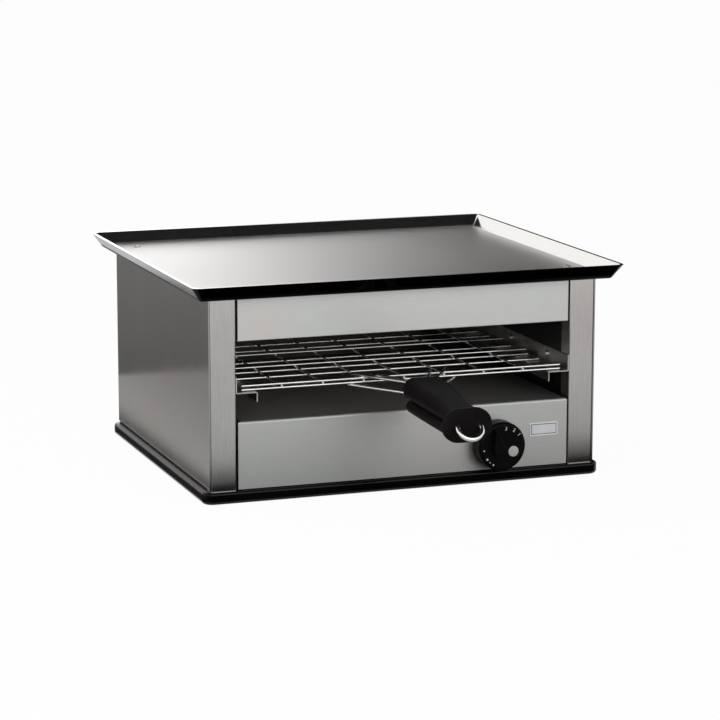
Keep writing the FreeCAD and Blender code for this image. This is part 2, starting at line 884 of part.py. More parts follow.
def inlet_pipe():
    route = [(knob_x + valve_width / 2, inlet_port_y, knob_z), (inlet_x, inlet_port_y, knob_z),
             (inlet_x, connector_front, knob_z)]
    return bent_rod(route, inlet_pipe_diameter, pipe_bend)


def pipe_nut(start, axis, pipe):
    bar = hex_bar(start, axis, pipe + pipe_nut_over_pipe, pipe_nut_length)
    end = Vector(*start) + Vector(*axis) * pipe_nut_length
    return bar.cut(rod(start, end, pipe))


def pipe_nuts():
    return [pipe_nut((knob_x, valve_back, knob_z), (0, 1, 0), supply_pipe_diameter),
            pipe_nut((elbow / 2, riser_y, mixing_z), (1, 0, 0), supply_pipe_diameter),
            pipe_nut((knob_x + valve_width / 2, inlet_port_y, knob_z), (1, 0, 0), inlet_pipe_diameter),
            pipe_nut((inlet_x, connector_front, knob_z), (0, -1, 0), inlet_pipe_diameter)]


def inlet_connector():
    # A relief groove parts the thread under the lock nut from the free thread that takes the hose.
    hexagon = hex_bar((inlet_x, connector_front, knob_z), (0, 1, 0), inlet_hex, inlet_hex_length)
    nut_end = back + lock_nut_height
    groove_end = nut_end + inlet_groove_width
    held_thread = rod((inlet_x, back - sheet, knob_z), (inlet_x, nut_end, knob_z), inlet_thread)
    neck = rod((inlet_x, nut_end, knob_z), (inlet_x, groove_end, knob_z),
               inlet_thread - 2 * inlet_groove_depth)
    free_thread = rod((inlet_x, groove_end, knob_z), (inlet_x, back + inlet_length, knob_z), inlet_thread)
    bore = rod((inlet_x, connector_front, knob_z), (inlet_x, back + inlet_length, knob_z), inlet_bore)
    return joined([hexagon, held_thread, neck, free_thread]).cut(bore)


def inlet_lock_nut():
    nut = hex_bar((inlet_x, back, knob_z), (0, 1, 0), inlet_hex, lock_nut_height)
    return nut.cut(rod((inlet_x, back, knob_z), (inlet_x, back + lock_nut_height, knob_z), inlet_thread))


def valve_body():
    half = valve_width / 2
    body = block(knob_x - half, knob_x + half, valve_front, valve_back,
                 knob_z - valve_height / 2, knob_z + valve_height / 2)
    chamber = rod((knob_x, valve_front, knob_z), (knob_x, chamber_end, knob_z), chamber_diameter)
    outlet = rod((knob_x, chamber_end, knob_z), (knob_x, valve_back, knob_z), gas_passage)
    inlet = rod((knob_x, inlet_port_y, knob_z), (knob_x + half, inlet_port_y, knob_z), gas_passage)
    top = knob_z + valve_height / 2
    holes = [rod((x, y, top - valve_screw_bite), (x, y, top), screw_thread) for x, y in valve_screw_places()]
    return cut_all(body, [chamber, outlet, inlet] + holes)


def valve_bonnet():
    flange = rod((knob_x, bonnet_front, knob_z), (knob_x, valve_front, knob_z), bonnet_diameter)
    boss = rod((knob_x, panel_inner, knob_z), (knob_x, bonnet_front, knob_z), boss_diameter)
    bore = rod((knob_x, panel_inner, knob_z), (knob_x, valve_front, knob_z),
               spindle_diameter + 2 * running_clearance)
    return joined([flange, boss]).cut(bore)


def bracket_web_y():
    return (valve_front + valve_back) / 2


def valve_bracket():
    web_y = bracket_web_y()
    top_z = housing_top - sheet - sheet / 2
    low_z = knob_z + valve_height / 2 + sheet / 2
    profile = [(web_y - bracket_top_tab, top_z), (web_y, top_z), (web_y, low_z),
               (web_y + bracket_low_tab, low_z)]
    bracket = folded_sheet(profile, "yz", knob_x - bracket_width / 2, knob_x + bracket_width / 2)
    holes = [rod((x, y, low_z - sheet / 2), (x, y, low_z + sheet / 2), screw_thread + screw_clearance)
             for x, y in valve_screw_places()]
    return cut_all(bracket, holes)


def valve_screw_places():
    y = bracket_web_y() + bracket_low_tab / 2
    return [(knob_x + side * valve_screw_spacing / 2, y) for side in (1, -1)]


def valve_screws():
    z = knob_z + valve_height / 2 + sheet
    return [screw((x, y, z), (0, 0, -1), sheet + valve_screw_bite) for x, y in valve_screw_places()]


def spring_seat():
    """Ring that the shoulder of the spindle pushes back against the spring."""
    start = (knob_x, seat_front, knob_z)
    end = (knob_x, seat_back, knob_z)
    ring = rod(start, end, chamber_diameter - 2 * running_clearance)
    return ring.cut(rod(start, end, spindle_diameter + 2 * running_clearance))


def valve_spindle():
    shaft = rod((knob_x, knob_base - spindle_in_knob, knob_z), (knob_x, seat_back + spindle_tail, knob_z),
                spindle_diameter)
    shoulder = rod((knob_x, valve_front, knob_z), (knob_x, seat_front, knob_z), spindle_shoulder)
    return joined([shaft, shoulder])


def valve_spring():
    """Return spring at its pushed length, standing on the end of the chamber."""
    start = seat_back + push_travel + spring_clearance + spring_wire / 2
    length = chamber_end - spring_wire / 2 - start
    radius = spring_mean / 2
    arcs = []
    for half in range(2 * spring_turns):
        points = []
        for part in (half, half + 0.5, half + 1):
            turn = math.pi * part
            y = start + length * part / (2 * spring_turns)
            points.append(Vector(knob_x + radius * math.cos(turn), y, knob_z + radius * math.sin(turn)))
        arcs.append(Part.Arc(*points).toShape())
    first = arcs[0]
    section = Part.Circle(first.valueAt(first.FirstParameter), first.tangentAt(first.FirstParameter),
                          spring_wire / 2)
    return Part.Wire(arcs).makePipeShell([Part.Wire(section.toShape())], True, False)


# Knob

def dot_place():
    turn = math.radians(dot_angle)
    return knob_x + dot_from_centre * math.cos(turn), knob_z + dot_from_centre * math.sin(turn)


def drop_outline(root, root_radius, tip, tip_radius):
    """Closed flat wire round a large circle at the root and a small one at the tip."""
    axis = tip - root
    along = math.atan2(axis.y, axis.x)
    lean = math.acos((root_radius - tip_radius) / axis.Length)
    arcs = []
    for middle, radius, turns in ((tip, tip_radius, (-lean, 0, lean)),
                                  (root, root_radius, (lean, math.pi, 2 * math.pi - lean))):
        arcs.append([middle + Vector(math.cos(along + a), math.sin(along + a), 0) * radius for a in turns])
    edges = []
    for points, following in zip(arcs, arcs[1:] + arcs[:1]):
        edges.append(Part.Arc(*points).toShape())
        edges.append(Part.LineSegment(points[2], following[0]).toShape())
    return Part.Wire(edges)


def knob_wing():
    """Raised finger grip on the knob's face, drop shaped, with its tip as the pointer."""
    outline = drop_outline(Vector(-wing_root_left, -wing_root_below, 0), wing_root_radius,
                           Vector(-wing_tip_left, wing_tip_above, 0), wing_tip_radius)
    wing = Part.Face(outline).extrude(Vector(0, 0, wing_height))
    wing = wing.makeFillet(wing_edge, edges_where(wing, lambda b: b.ZMin > wing_height / 2))
    return stand_up(wing, knob_x, knob_face, knob_z)


def control_knob():
    body = rod((knob_x, knob_base, knob_z), (knob_x, knob_face, knob_z), knob_diameter)
    body = body.makeFillet(knob_edge, edges_where(body, lambda b: b.YMax < knob_face + knob_edge))
    bore = rod((knob_x, knob_base, knob_z), (knob_x, knob_base - spindle_in_knob, knob_z), spindle_diameter)
    x, z = dot_place()
    recess = rod((x, knob_face + dot_depth, z), (x, knob_face, z), dot_diameter)
    return cut_all(joined([body, knob_wing()]), [bore, recess])


def knob_dot():
    x, z = dot_place()
    return rod((x, knob_face + dot_depth, z), (x, knob_face - dot_proud, z), dot_diameter)


# Rack

def toast_rack():
    """Welded grid: long wires between a lower and an upper set of cross wires."""
    rear = rack_front + rack_depth
    each_side = int((rack_half - long_wire_pitch / 2) // long_wire_pitch)
    places = [i * long_wire_pitch for i in range(-each_side, each_side + 1)]
    tip = wire / 2 + wire_tip
    wires = [rod((x, rack_front - tip, long_wire_z), (x, rear + tip, long_wire_z), wire) for x in places]
    for shares, z in ((low_cross_shares, low_wire_z), (high_cross_shares, high_wire_z)):
        for share in shares:
            y = rack_front + share * rack_depth
            wires.append(rod((-rack_half, y, z), (rack_half, y, z), wire))
    return joined(wires)


# Each leg: its place on the rack, how far behind the front wires it starts, its place in the grip
leg_shapes = {
    "upper_outer": (outer_leg_start, outer_leg_back, outer_leg_end, outer_leg_above_seam, 1),
    "upper_inner": (inner_leg_start, inner_leg_back, inner_leg_end, inner_leg_above_seam, 1),
    "lower": (low_leg_start, low_leg_back, low_leg_end, low_leg_above_seam, -1),
}


def leg_points(name):
    """Start on the rack, knee in front of the grip, and end in the grip, on the right side."""
    start_x, start_back, end_x, above_seam, side = leg_shapes[name]
    weld_z = high_wire_z if side > 0 else low_wire_z
    start = (start_x, rack_front + start_back, weld_z + side * (wire + leg_wire) / 2)
    knee = (end_x, grip_rear + leg_bend, seam_rear_z + above_seam)
    end = (end_x, grip_rear - leg_socket, seam_rear_z + above_seam)
    return start, knee, end


def handle_wire(name):
    return bent_rod(leg_points(name), leg_wire, leg_bend)


def leg_sockets():
    sockets = []
    for name in leg_shapes:
        knee, end = leg_points(name)[1:]
        sockets.append(rod(knee, end, leg_wire + 2 * socket_clearance))
    return both_sides(sockets)


def seam_z(y):
    return seam_rear_z - seam_drop * (grip_rear - y) / (grip_rear - collar_rear)


def grip_lobe(rear_width, front_width, rear_height, front_height, side):
    """Barrel above (side 1) or below (side -1) the seam of the grip."""
    outlines = []
    stations = 4
    for i in range(stations):
        share = i / (stations - 1)
        ease = share * share * (3 - 2 * share)
        width = rear_width + (front_width - rear_width) * ease
        height = rear_height + (front_height - rear_height) * ease
        y = grip_rear + (collar_rear - grip_rear) * share
        outlines.append(stand_up(oval_outline(width, height), 0, y, seam_z(y) + side * height / 2))
    lobe = Part.makeLoft(outlines, True, False)
    rear_edges = edges_where(lobe, lambda b: b.YMin > grip_rear - grip_end_radius / 2)
    return lobe.makeFillet(grip_end_radius, rear_edges)


def grip_screw_places():
    return [grip_rear - grip_screw_inset, collar_rear + grip_screw_inset]


def grip_screws():
    """Screws from below that hold the two shells of the grip together."""
    screws = []
    for y in grip_screw_places():
        seat = seam_z(y) - lower_front_height + grip_screw_sink
        screws.append(screw((0, y, seat), (0, 0, 1), seam_z(y) + grip_screw_bite - seat))
    return screws


def grip_screw_holes():
    holes = []
    for y in grip_screw_places():
        seat = seam_z(y) - lower_front_height + grip_screw_sink
        holes.append(rod((0, y, seat), (0, y, seam_z(y) + grip_screw_bite), screw_thread))
        holes.append(rod((0, y, seat), (0, y, seat - lower_rear_height), screw_head + 2 * screw_clearance))
    return holes


def grip_upper():
    lobe = grip_lobe(upper_rear_width, upper_front_width, upper_rear_height, upper_front_height, 1)
    collar = Part.Face(oval_outline(collar_width, collar_height)).extrude(Vector(0, 0, collar_thickness))
    collar = collar.makeFillet(collar_edge, edges_where(collar, lambda b: b.ZLength < collar_thickness / 2))
    collar = stand_up(collar, 0, collar_rear, grip_middle_z)
    loop_holes = []
    for x in (loop_half_width, -loop_half_width):
        loop_holes.append(rod((x, grip_front + loop_socket, grip_middle_z), (x, grip_front, grip_middle_z),
                              loop_wire + 2 * socket_clearance))
    return cut_all(joined([lobe, collar]), leg_sockets() + loop_holes + grip_screw_holes())


def grip_lower():
    lobe = grip_lobe(lower_rear_width, lower_front_width, lower_rear_height, lower_front_height, -1)
    loop_holes = []
    for x in (loop_half_width, -loop_half_width):
        loop_holes.append(rod((x, grip_front + loop_socket, grip_middle_z), (x, grip_front, grip_middle_z),
                              loop_wire + 2 * socket_clearance))
    return cut_all(lobe, loop_holes + grip_screw_holes())


def handle_loop():
    """Round wire loop that hangs from the collar."""
    droop = math.radians(loop_droop)
    into = Vector(0, -1, 0)
    out = Vector(0, -math.cos(droop), -math.sin(droop))
    inside = Vector(loop_half_width, grip_front + loop_socket, grip_middle_z)
    knee = Vector(loop_half_width, grip_front - loop_neck, grip_middle_z)
    first = knee + into * (-loop_bend * math.tan(droop / 2))
    last = knee + out * (loop_bend * math.tan(droop / 2))
    middle = knee + (out - into).normalize() * (loop_bend / math.cos(droop / 2) - loop_bend)
    turn = knee + out * loop_leg
    tip = Vector(0, turn.y, turn.z) + out * loop_half_width
    right = [inside, first, middle, last, turn]
    left = [Vector(-point.x, point.y, point.z) for point in right]
    edges = [Part.LineSegment(right[0], right[1]), Part.Arc(*right[1:4]),
             Part.LineSegment(right[3], right[4]), Part.Arc(right[4], tip, left[4]),
             Part.LineSegment(left[4], left[3]), Part.Arc(left[3], left[2], left[1]),
             Part.LineSegment(left[1], left[0])]
    section = Part.Wire(Part.Circle(inside, into, loop_wire / 2).toShape())
    return Part.Wire([edge.toShape() for edge in edges]).makePipeShell([section], True, False)


nodes = {
    "base_tray": base_tray(),
    "base_screws": base_screws(),
    "side_panel_left": side_panel_left(),
    "side_panel_right": side_panel_right(),
    "back_panel": back_panel(),
    "back_panel_screws": back_panel_screws(),
    "griddle_plate": griddle_plate(),
    "griddle_screws": griddle_screws(),
    "griddle_nuts": griddle_nuts(),
    "front_post_left": mirrored(front_post()),
    "front_post_right": front_post(),
    "upper_fascia": upper_fascia(),
    "lower_housing": lower_housing(),
    "panel_screws": panel_screws(),
    "panel_washers": panel_washers(),
    "panel_nuts": panel_nuts(),
    "blank_plate": blank_plate(),
    "side_liner_left": mirrored(side_liner()),
    "side_liner_right": side_liner(),
    "cavity_back_wall": cavity_back_wall(),
    "rail_left": mirrored(rail()),
    "rail_right": rail(),
    "rail_screws": rail_screws(),
    "burner_box": burner_box(),
    "burner_tiles": burner_tiles(),
    "tile_frame": tile_frame(),
    "burner_hanger_left": mirrored(burner_hanger()),
    "burner_hanger_right": burner_hanger(),
    "hanger_screws": hanger_screws(),
    "mixing_tube": mixing_tube(),
    "injector": injector(),
    "injector_bracket": injector_bracket(),
    "flame_probe": flame_probe(),
    "supply_pipe": supply_pipe(),
    "inlet_pipe": inlet_pipe(),
    "pipe_nuts": pipe_nuts(),
    "inlet_connector": inlet_connector(),
    "inlet_lock_nut": inlet_lock_nut(),
    "valve_body": valve_body(),
    "valve_bonnet": valve_bonnet(),
    "valve_bracket": valve_bracket(),
    "valve_screws": valve_screws(),
    "spring_seat": spring_seat(),
    "valve_spindle": valve_spindle(),
    "valve_spring": valve_spring(),
    "control_knob": control_knob(),
    "knob_dot": knob_dot(),
    "toast_rack": toast_rack(),
    "handle_loop": handle_loop(),
    "grip_upper": grip_upper(),
    "grip_lower": grip_lower(),
    "grip_screws": grip_screws(),
}
for leg_name in leg_shapes:
    nodes[f"handle_wire_{leg_name}_right"] = handle_wire(leg_name)
    nodes[f"handle_wire_{leg_name}_left"] = mirrored(handle_wire(leg_name))

os.makedirs("parts", exist_ok=True)
for name, shape in nodes.items():
    if isinstance(shape, list):
        shape = Part.makeCompound(shape)
    shape.exportStep(f"parts/{name}.step")
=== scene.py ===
"""Looks of the gas toaster with griddle: materials, small trim, studio and camera."""

import json
import math

import bmesh
import bpy
from mathutils import Matrix, Vector

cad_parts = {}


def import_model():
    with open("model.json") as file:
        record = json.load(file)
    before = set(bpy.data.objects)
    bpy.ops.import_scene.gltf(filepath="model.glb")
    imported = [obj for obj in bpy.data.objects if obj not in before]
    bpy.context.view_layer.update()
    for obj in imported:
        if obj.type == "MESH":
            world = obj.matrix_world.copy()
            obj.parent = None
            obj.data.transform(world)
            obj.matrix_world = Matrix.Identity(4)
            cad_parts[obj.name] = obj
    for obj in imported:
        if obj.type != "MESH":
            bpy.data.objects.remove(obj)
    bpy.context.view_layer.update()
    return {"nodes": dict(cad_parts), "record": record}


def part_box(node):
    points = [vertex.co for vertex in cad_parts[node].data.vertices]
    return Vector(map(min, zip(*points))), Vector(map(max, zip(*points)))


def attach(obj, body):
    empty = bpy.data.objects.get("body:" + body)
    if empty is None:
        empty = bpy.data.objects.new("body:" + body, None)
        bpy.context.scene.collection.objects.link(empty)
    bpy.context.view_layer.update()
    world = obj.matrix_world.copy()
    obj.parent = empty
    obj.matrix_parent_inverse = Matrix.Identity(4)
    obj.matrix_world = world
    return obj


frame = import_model()
nodes = frame["nodes"]

# Camera, as seen in the photograph
CAMERA_PLACE = (-1.0459, -2.9573, 0.7195)
CAMERA_YAW = math.radians(19.725)
CAMERA_PITCH = math.radians(11.0)
CAMERA_ROLL = math.radians(0.1)
SENSOR_WIDTH = 36.0
FOCAL_LENGTH = 137.9

X_AXIS = (1.0, 0.0, 0.0)
Y_AXIS = (0.0, 1.0, 0.0)
Z_AXIS = (0.0, 0.0, 1.0)


# Node helpers

class Tree:
    """One material's node tree with its Principled shader."""

    def __init__(self, name):
        self.material = bpy.data.materials.new(name)
        self.material.use_nodes = True
        self.tree = self.material.node_tree
        self.shader = self.tree.nodes["Principled BSDF"]
        self.coords = self.tree.nodes.new("ShaderNodeTexCoord")

    def link(self, source, target):
        self.tree.links.new(source, target)

    def set(self, **values):
        for key, value in values.items():
            self.shader.inputs[key.replace("_", " ")].default_value = value

    def part(self, source, axis):
        """One component of the point's place or normal: source is Object or Normal, axis 0, 1 or 2."""
        split = self.tree.nodes.new("ShaderNodeSeparateXYZ")
        self.link(self.coords.outputs[source], split.inputs["Vector"])
        return split.outputs[axis]

    def noise(self, scale, detail=3.0, roughness=0.55, stretch=(1.0, 1.0, 1.0), offset=(0.0, 0.0, 0.0)):
        mapping = self.tree.nodes.new("ShaderNodeMapping")
        mapping.inputs["Scale"].default_value = stretch
        mapping.inputs["Location"].default_value = offset
        self.link(self.coords.outputs["Object"], mapping.inputs["Vector"])
        texture = self.tree.nodes.new("ShaderNodeTexNoise")
        texture.inputs["Scale"].default_value = scale
        texture.inputs["Detail"].default_value = detail
        texture.inputs["Roughness"].default_value = roughness
        self.link(mapping.outputs["Vector"], texture.inputs["Vector"])
        return texture.outputs["Fac"]

    def spread(self, value, low, high, out_low, out_high):
        ranged = self.tree.nodes.new("ShaderNodeMapRange")
        ranged.inputs["From Min"].default_value = low
        ranged.inputs["From Max"].default_value = high
        ranged.inputs["To Min"].default_value = out_low
        ranged.inputs["To Max"].default_value = out_high
        self.link(value, ranged.inputs["Value"])
        return ranged.outputs["Result"]

    def blend(self, factor, first, second):
        mix = self.tree.nodes.new("ShaderNodeMix")
        mix.data_type = "RGBA"
        self.link(factor, mix.inputs["Factor"])
        for socket, colour in ((mix.inputs[6], first), (mix.inputs[7], second)):
            if isinstance(colour, bpy.types.NodeSocket):
                self.link(colour, socket)
            else:
                socket.default_value = (*colour, 1.0)
        return mix.outputs[2]

    def math(self, operation, first, second):
        node = self.tree.nodes.new("ShaderNodeMath")
        node.operation = operation
        for socket, value in zip(node.inputs, (first, second)):
            if isinstance(value, bpy.types.NodeSocket):
                self.link(value, socket)
            else:
                socket.default_value = value
        return node.outputs["Value"]

    def bump(self, height, strength, distance):
        node = self.tree.nodes.new("ShaderNodeBump")
        node.inputs["Strength"].default_value = strength
        node.inputs["Distance"].default_value = distance
        self.link(height, node.inputs["Height"])
        self.link(node.outputs["Normal"], self.shader.inputs["Normal"])

    def across(self, direction):
        """Spreads the gloss along this direction, which lies across the brushing."""
        node = self.tree.nodes.new("ShaderNodeCombineXYZ")
        for socket, value in zip(node.inputs, direction):
            socket.default_value = value
        self.link(node.outputs["Vector"], self.shader.inputs["Tangent"])


WARM = (1.0, 0.965, 0.95)
COOL = (0.97, 1.0, 0.985)


def tinted(colour, tint):
    return tuple(c * t for c, t in zip(colour, tint))


def brushed(name, dark, light, rough, grain, gloss_across, smudge=5.0, anisotropy=0.6, depth=0.05, up_face_shade=None):
    """Brushed steel. grain is the direction of the brushing, rough the low and high roughness.

    up_face_shade is painted shade: a darker colour on faces that look up at the burner, into the dark cavity.
    """
    t = Tree(name)
    along, across = 40.0, 620.0
    stretch = tuple(along if g else across for g in grain)
    lines = t.noise(1.0, detail=3.0, stretch=stretch)
    clouds = t.noise(smudge, detail=4.0, roughness=0.6)
    grade = t.spread(t.math("ADD", lines, clouds), 0.7, 1.3, 0.0, 1.0)
    warm = t.blend(grade, tinted(dark, WARM), tinted(light, WARM))
    cool = t.blend(grade, tinted(dark, COOL), tinted(light, COOL))
    tint = t.spread(t.noise(9.0, detail=2.0, offset=(3.1, 1.7, 0.4)), 0.35, 0.65, 0.0, 1.0)
    colour = t.blend(tint, warm, cool)
    # Painted shade: faces that look up at the burner get a darker colour.
    if up_face_shade is not None:
        colour = t.blend(t.spread(t.part("Normal", 2), 0.8, 0.98, 0.0, 1.0), colour, up_face_shade)
    t.link(colour, t.shader.inputs["Base Color"])
    t.link(t.spread(clouds, 0.3, 0.7, *rough), t.shader.inputs["Roughness"])
    t.set(Metallic=1.0, Anisotropic=anisotropy)
    t.across(gloss_across)
    t.bump(lines, depth, 0.0001)
    return t.material


def plain_metal(name, dark, light, rough, scale=40.0, depth=0.1, distance=0.0002):
    t = Tree(name)
    patches = t.noise(scale, detail=4.0)
    fine = t.noise(scale * 12, detail=2.0)
    t.link(t.blend(t.spread(patches, 0.35, 0.65, 0.0, 1.0), dark, light), t.shader.inputs["Base Color"])
    t.link(t.spread(patches, 0.3, 0.7, *rough), t.shader.inputs["Roughness"])
    t.set(Metallic=1.0)
    t.bump(fine, depth, distance)
    return t.material


def moulded(name, dark, light, rough, gloss=0.5, scale=60.0, depth=0.15, distance=0.0003):
    t = Tree(name)
    clouds = t.noise(scale * 0.25, detail=4.0)
    fine = t.noise(scale * 14, detail=3.0)
    t.link(t.blend(t.spread(clouds, 0.35, 0.65, 0.0, 1.0), dark, light), t.shader.inputs["Base Color"])
    t.link(t.spread(clouds, 0.3, 0.7, *rough), t.shader.inputs["Roughness"])
    t.set(Specular_IOR_Level=gloss)
    t.bump(fine, depth, distance)
    return t.material


# Materials

GRIDDLE_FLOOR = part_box("griddle_screws")[1].z - 0.002


def griddle_steel():
    """Satin floor, polished lips and a painted reflection: faces that look down, round the outside of the lips,
    are painted black for the dark floor they face.
    """
    t = Tree("griddle_steel")
    lines = t.noise(1.0, detail=2.0, stretch=(30.0, 700.0, 700.0))
    smudges = t.noise(5.0, detail=2.0)
    tint = t.spread(smudges, 0.35, 0.65, 0.0, 1.0)
    bright = t.blend(tint, (0.71, 0.69, 0.675), (0.72, 0.71, 0.70))
    # Painted reflection: faces that look down are painted near black.
    painted_dark_underside = t.spread(t.part("Normal", 2), -0.2, -0.4, 0.0, 1.0)
    t.link(t.blend(painted_dark_underside, bright, (0.010, 0.010, 0.010)), t.shader.inputs["Base Color"])
    lip = t.spread(t.part("Object", 2), GRIDDLE_FLOOR, GRIDDLE_FLOOR + 0.0025, 0.0, 1.0)
    satin = t.spread(smudges, 0.3, 0.7, 0.38, 0.42)
    drop = t.math("MULTIPLY", lip, 0.28)
    t.link(t.math("SUBTRACT", satin, drop), t.shader.inputs["Roughness"])
    t.set(Metallic=1.0, Anisotropic=0.3)
    t.across(Y_AXIS)
    t.bump(lines, 0.012, 0.00005)
    return t.material


def side_steel():
    return brushed("side_steel", (0.455, 0.43, 0.415), (0.515, 0.485, 0.47), (0.15, 0.20), Z_AXIS, Y_AXIS,
                   smudge=9.0, anisotropy=0.85)


def post_steel():
    return brushed("post_steel", (0.58, 0.57, 0.565), (0.65, 0.64, 0.635), (0.18, 0.24), Z_AXIS, X_AXIS,
                   smudge=9.0, anisotropy=0.8)


def panel_steel():
    return brushed("panel_steel", (0.545, 0.545, 0.54), (0.59, 0.59, 0.585), (0.40, 0.48), X_AXIS, Z_AXIS,
                   smudge=6.0, anisotropy=0.6)


def housing_steel():
    # The darker colour for up-facing faces is painted shade from the dark cavity.
    return brushed("housing_steel", (0.485, 0.485, 0.475), (0.525, 0.525, 0.515), (0.40, 0.48), X_AXIS, Z_AXIS,
                   smudge=6.0, anisotropy=0.6, up_face_shade=(0.29, 0.285, 0.28))


def back_steel():
    return brushed("back_steel", (0.50, 0.50, 0.49), (0.58, 0.58, 0.57), (0.30, 0.40), X_AXIS, Z_AXIS, smudge=6.0)


# Near black: the liner's own dark grey darkened further as painted shade for the deep cavity.
def inner_steel():
    return plain_metal("inner_steel", (0.030, 0.029, 0.028), (0.065, 0.062, 0.060), (0.34, 0.50), scale=18.0)


def rail_steel():
    return plain_metal("rail_steel", (0.42, 0.41, 0.40), (0.56, 0.55, 0.54), (0.30, 0.42), scale=30.0)


def rack_wire():
    return plain_metal("rack_wire", (0.82, 0.80, 0.78), (0.92, 0.90, 0.88), (0.12, 0.20), scale=70.0)


def burner_steel():
    return plain_metal("burner_steel", (0.035, 0.032, 0.030), (0.075, 0.068, 0.062), (0.40, 0.60), scale=16.0)


def burner_tile():
    t = Tree("burner_tile")
    clouds = t.noise(14.0, detail=5.0)
    cells = t.tree.nodes.new("ShaderNodeTexVoronoi")
    cells.inputs["Scale"].default_value = 420.0
    t.link(t.coords.outputs["Object"], cells.inputs["Vector"])
    holes = t.spread(cells.outputs["Distance"], 0.18, 0.34, 0.0, 1.0)
    face = t.blend(t.spread(clouds, 0.35, 0.65, 0.0, 1.0), (0.55, 0.48, 0.38), (0.74, 0.68, 0.58))
    t.link(t.blend(holes, (0.06, 0.05, 0.04), face), t.shader.inputs["Base Color"])
    t.set(Roughness=0.9)
    t.bump(holes, 0.6, 0.0006)
    return t.material


def base_black():
    return moulded("base_black", (0.0015, 0.0015, 0.0015), (0.003, 0.003, 0.003), (0.14, 0.20), gloss=0.18,
                   scale=30.0, depth=0.03)


def grip_black():
    return moulded("grip_black", (0.0045, 0.0035, 0.004), (0.008, 0.0065, 0.007), (0.36, 0.50), gloss=0.05,
                   scale=90.0, depth=0.2)


def knob_black():
    return moulded("knob_black", (0.002, 0.002, 0.002), (0.004, 0.004, 0.004), (0.28, 0.40), gloss=0.05,
                   scale=120.0, depth=0.1)


def dot_grey():
    return moulded("dot_grey", (0.42, 0.41, 0.39), (0.52, 0.51, 0.49), (0.35, 0.5), scale=140.0, depth=0.1)


def valve_brass():
    return plain_metal("valve_brass", (0.56, 0.40, 0.16), (0.74, 0.57, 0.28), (0.22, 0.38), scale=50.0)


def gas_pipe():
    return plain_metal("gas_pipe", (0.48, 0.24, 0.14), (0.74, 0.42, 0.28), (0.28, 0.45), scale=24.0)


def zinc_steel():
    return plain_metal("zinc_steel", (0.48, 0.48, 0.49), (0.66, 0.66, 0.67), (0.22, 0.36), scale=120.0)


def blackened_steel():
    return plain_metal("blackened_steel", (0.010, 0.010, 0.010), (0.022, 0.021, 0.020), (0.45, 0.6), scale=120.0)


def spring_steel():
    return plain_metal("spring_steel", (0.30, 0.30, 0.31), (0.46, 0.46, 0.47), (0.25, 0.4), scale=90.0)


def plate_silver():
    return moulded("plate_silver", (0.62, 0.63, 0.65), (0.70, 0.71, 0.73), (0.3, 0.4), scale=160.0, depth=0.06)


def plate_edge():
    return moulded("plate_edge", (0.74, 0.75, 0.76), (0.84, 0.85, 0.86), (0.3, 0.4), scale=160.0, depth=0.05)


def plate_line():
    return moulded("plate_line", (0.10, 0.115, 0.13), (0.15, 0.165, 0.18), (0.35, 0.5), scale=160.0, depth=0.05)


def marking_white():
    return moulded("marking_white", (0.70, 0.70, 0.69), (0.82, 0.82, 0.81), (0.45, 0.6), scale=200.0, depth=0.05)


SLOT_MATERIALS = {
    "base_black": base_black,
    "griddle_steel": griddle_steel,
    "body_steel": side_steel,
    "front_steel": panel_steel,
    "housing_steel": housing_steel,
    "inner_steel": inner_steel,
    "rail_steel": rail_steel,
    "rack_wire": rack_wire,
    "burner_steel": burner_steel,
    "burner_tile": burner_tile,
    "grip_black": grip_black,
    "knob_black": knob_black,
    "knob_dot": dot_grey,
    "valve_brass": valve_brass,
    "gas_pipe": gas_pipe,
    "zinc_steel": zinc_steel,
    "spring_steel": spring_steel,
    "plate_silver": plate_silver,
}

NODE_MATERIALS = {
    "front_post_left": post_steel,
    "front_post_right": post_steel,
    "back_panel": back_steel,
    "panel_screws": blackened_steel,
    "panel_washers": blackened_steel,
    "panel_nuts": blackened_steel,
}


def dress_nodes():
    made = {}
    for part in frame["record"]["subparts"]:
        name = part["node"]
        maker = NODE_MATERIALS.get(name, SLOT_MATERIALS[part["material_slot"]])
        if maker not in made:
            made[maker] = maker()
        for slot in nodes[name].material_slots:
            slot.material = made[maker]


# Marks on the knob

KNOB_LOW, KNOB_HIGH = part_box("control_knob")
KNOB_RADIUS = (KNOB_HIGH.x - KNOB_LOW.x) / 2
KNOB_X = (KNOB_LOW.x + KNOB_HIGH.x) / 2
KNOB_Z = (KNOB_LOW.z + KNOB_HIGH.z) / 2
DOT_PROUD = 0.0004
KNOB_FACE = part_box("knob_dot")[0].y + DOT_PROUD
MARK_RISE = 0.00012
DIGITS = (("3", 80.6, 0.74), ("2", 54.4, 0.80), ("1", 34.0, 0.83))
DIGIT_HEIGHT = 0.0038
DOTS = ((188.0, 0.0009), (215.0, 0.0012), (227.0, 0.0006), (240.0, 0.0009))
DOT_RING = 0.83


def on_knob(angle, ring):
    turn = math.radians(angle)
    return (KNOB_X + KNOB_RADIUS * ring * math.cos(turn), KNOB_FACE - MARK_RISE,
            KNOB_Z + KNOB_RADIUS * ring * math.sin(turn))


def knob_digit(text, angle, ring, material):
    curve = bpy.data.curves.new("knob_digit_" + text, "FONT")
    curve.body = text
    curve.size = DIGIT_HEIGHT / 0.7
    curve.align_x = "CENTER"
    curve.align_y = "CENTER"
    curve.extrude = MARK_RISE
    digit = bpy.data.objects.new("knob_digit_" + text, curve)
    bpy.context.scene.collection.objects.link(digit)
    digit.data.materials.append(material)
    digit.location = on_knob(angle, ring)
    digit.rotation_euler = (Matrix.Rotation(-math.radians(angle - 90.0), 3, "Y")
                            @ Matrix.Rotation(math.pi / 2, 3, "X")).to_euler()
    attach(digit, "knob")


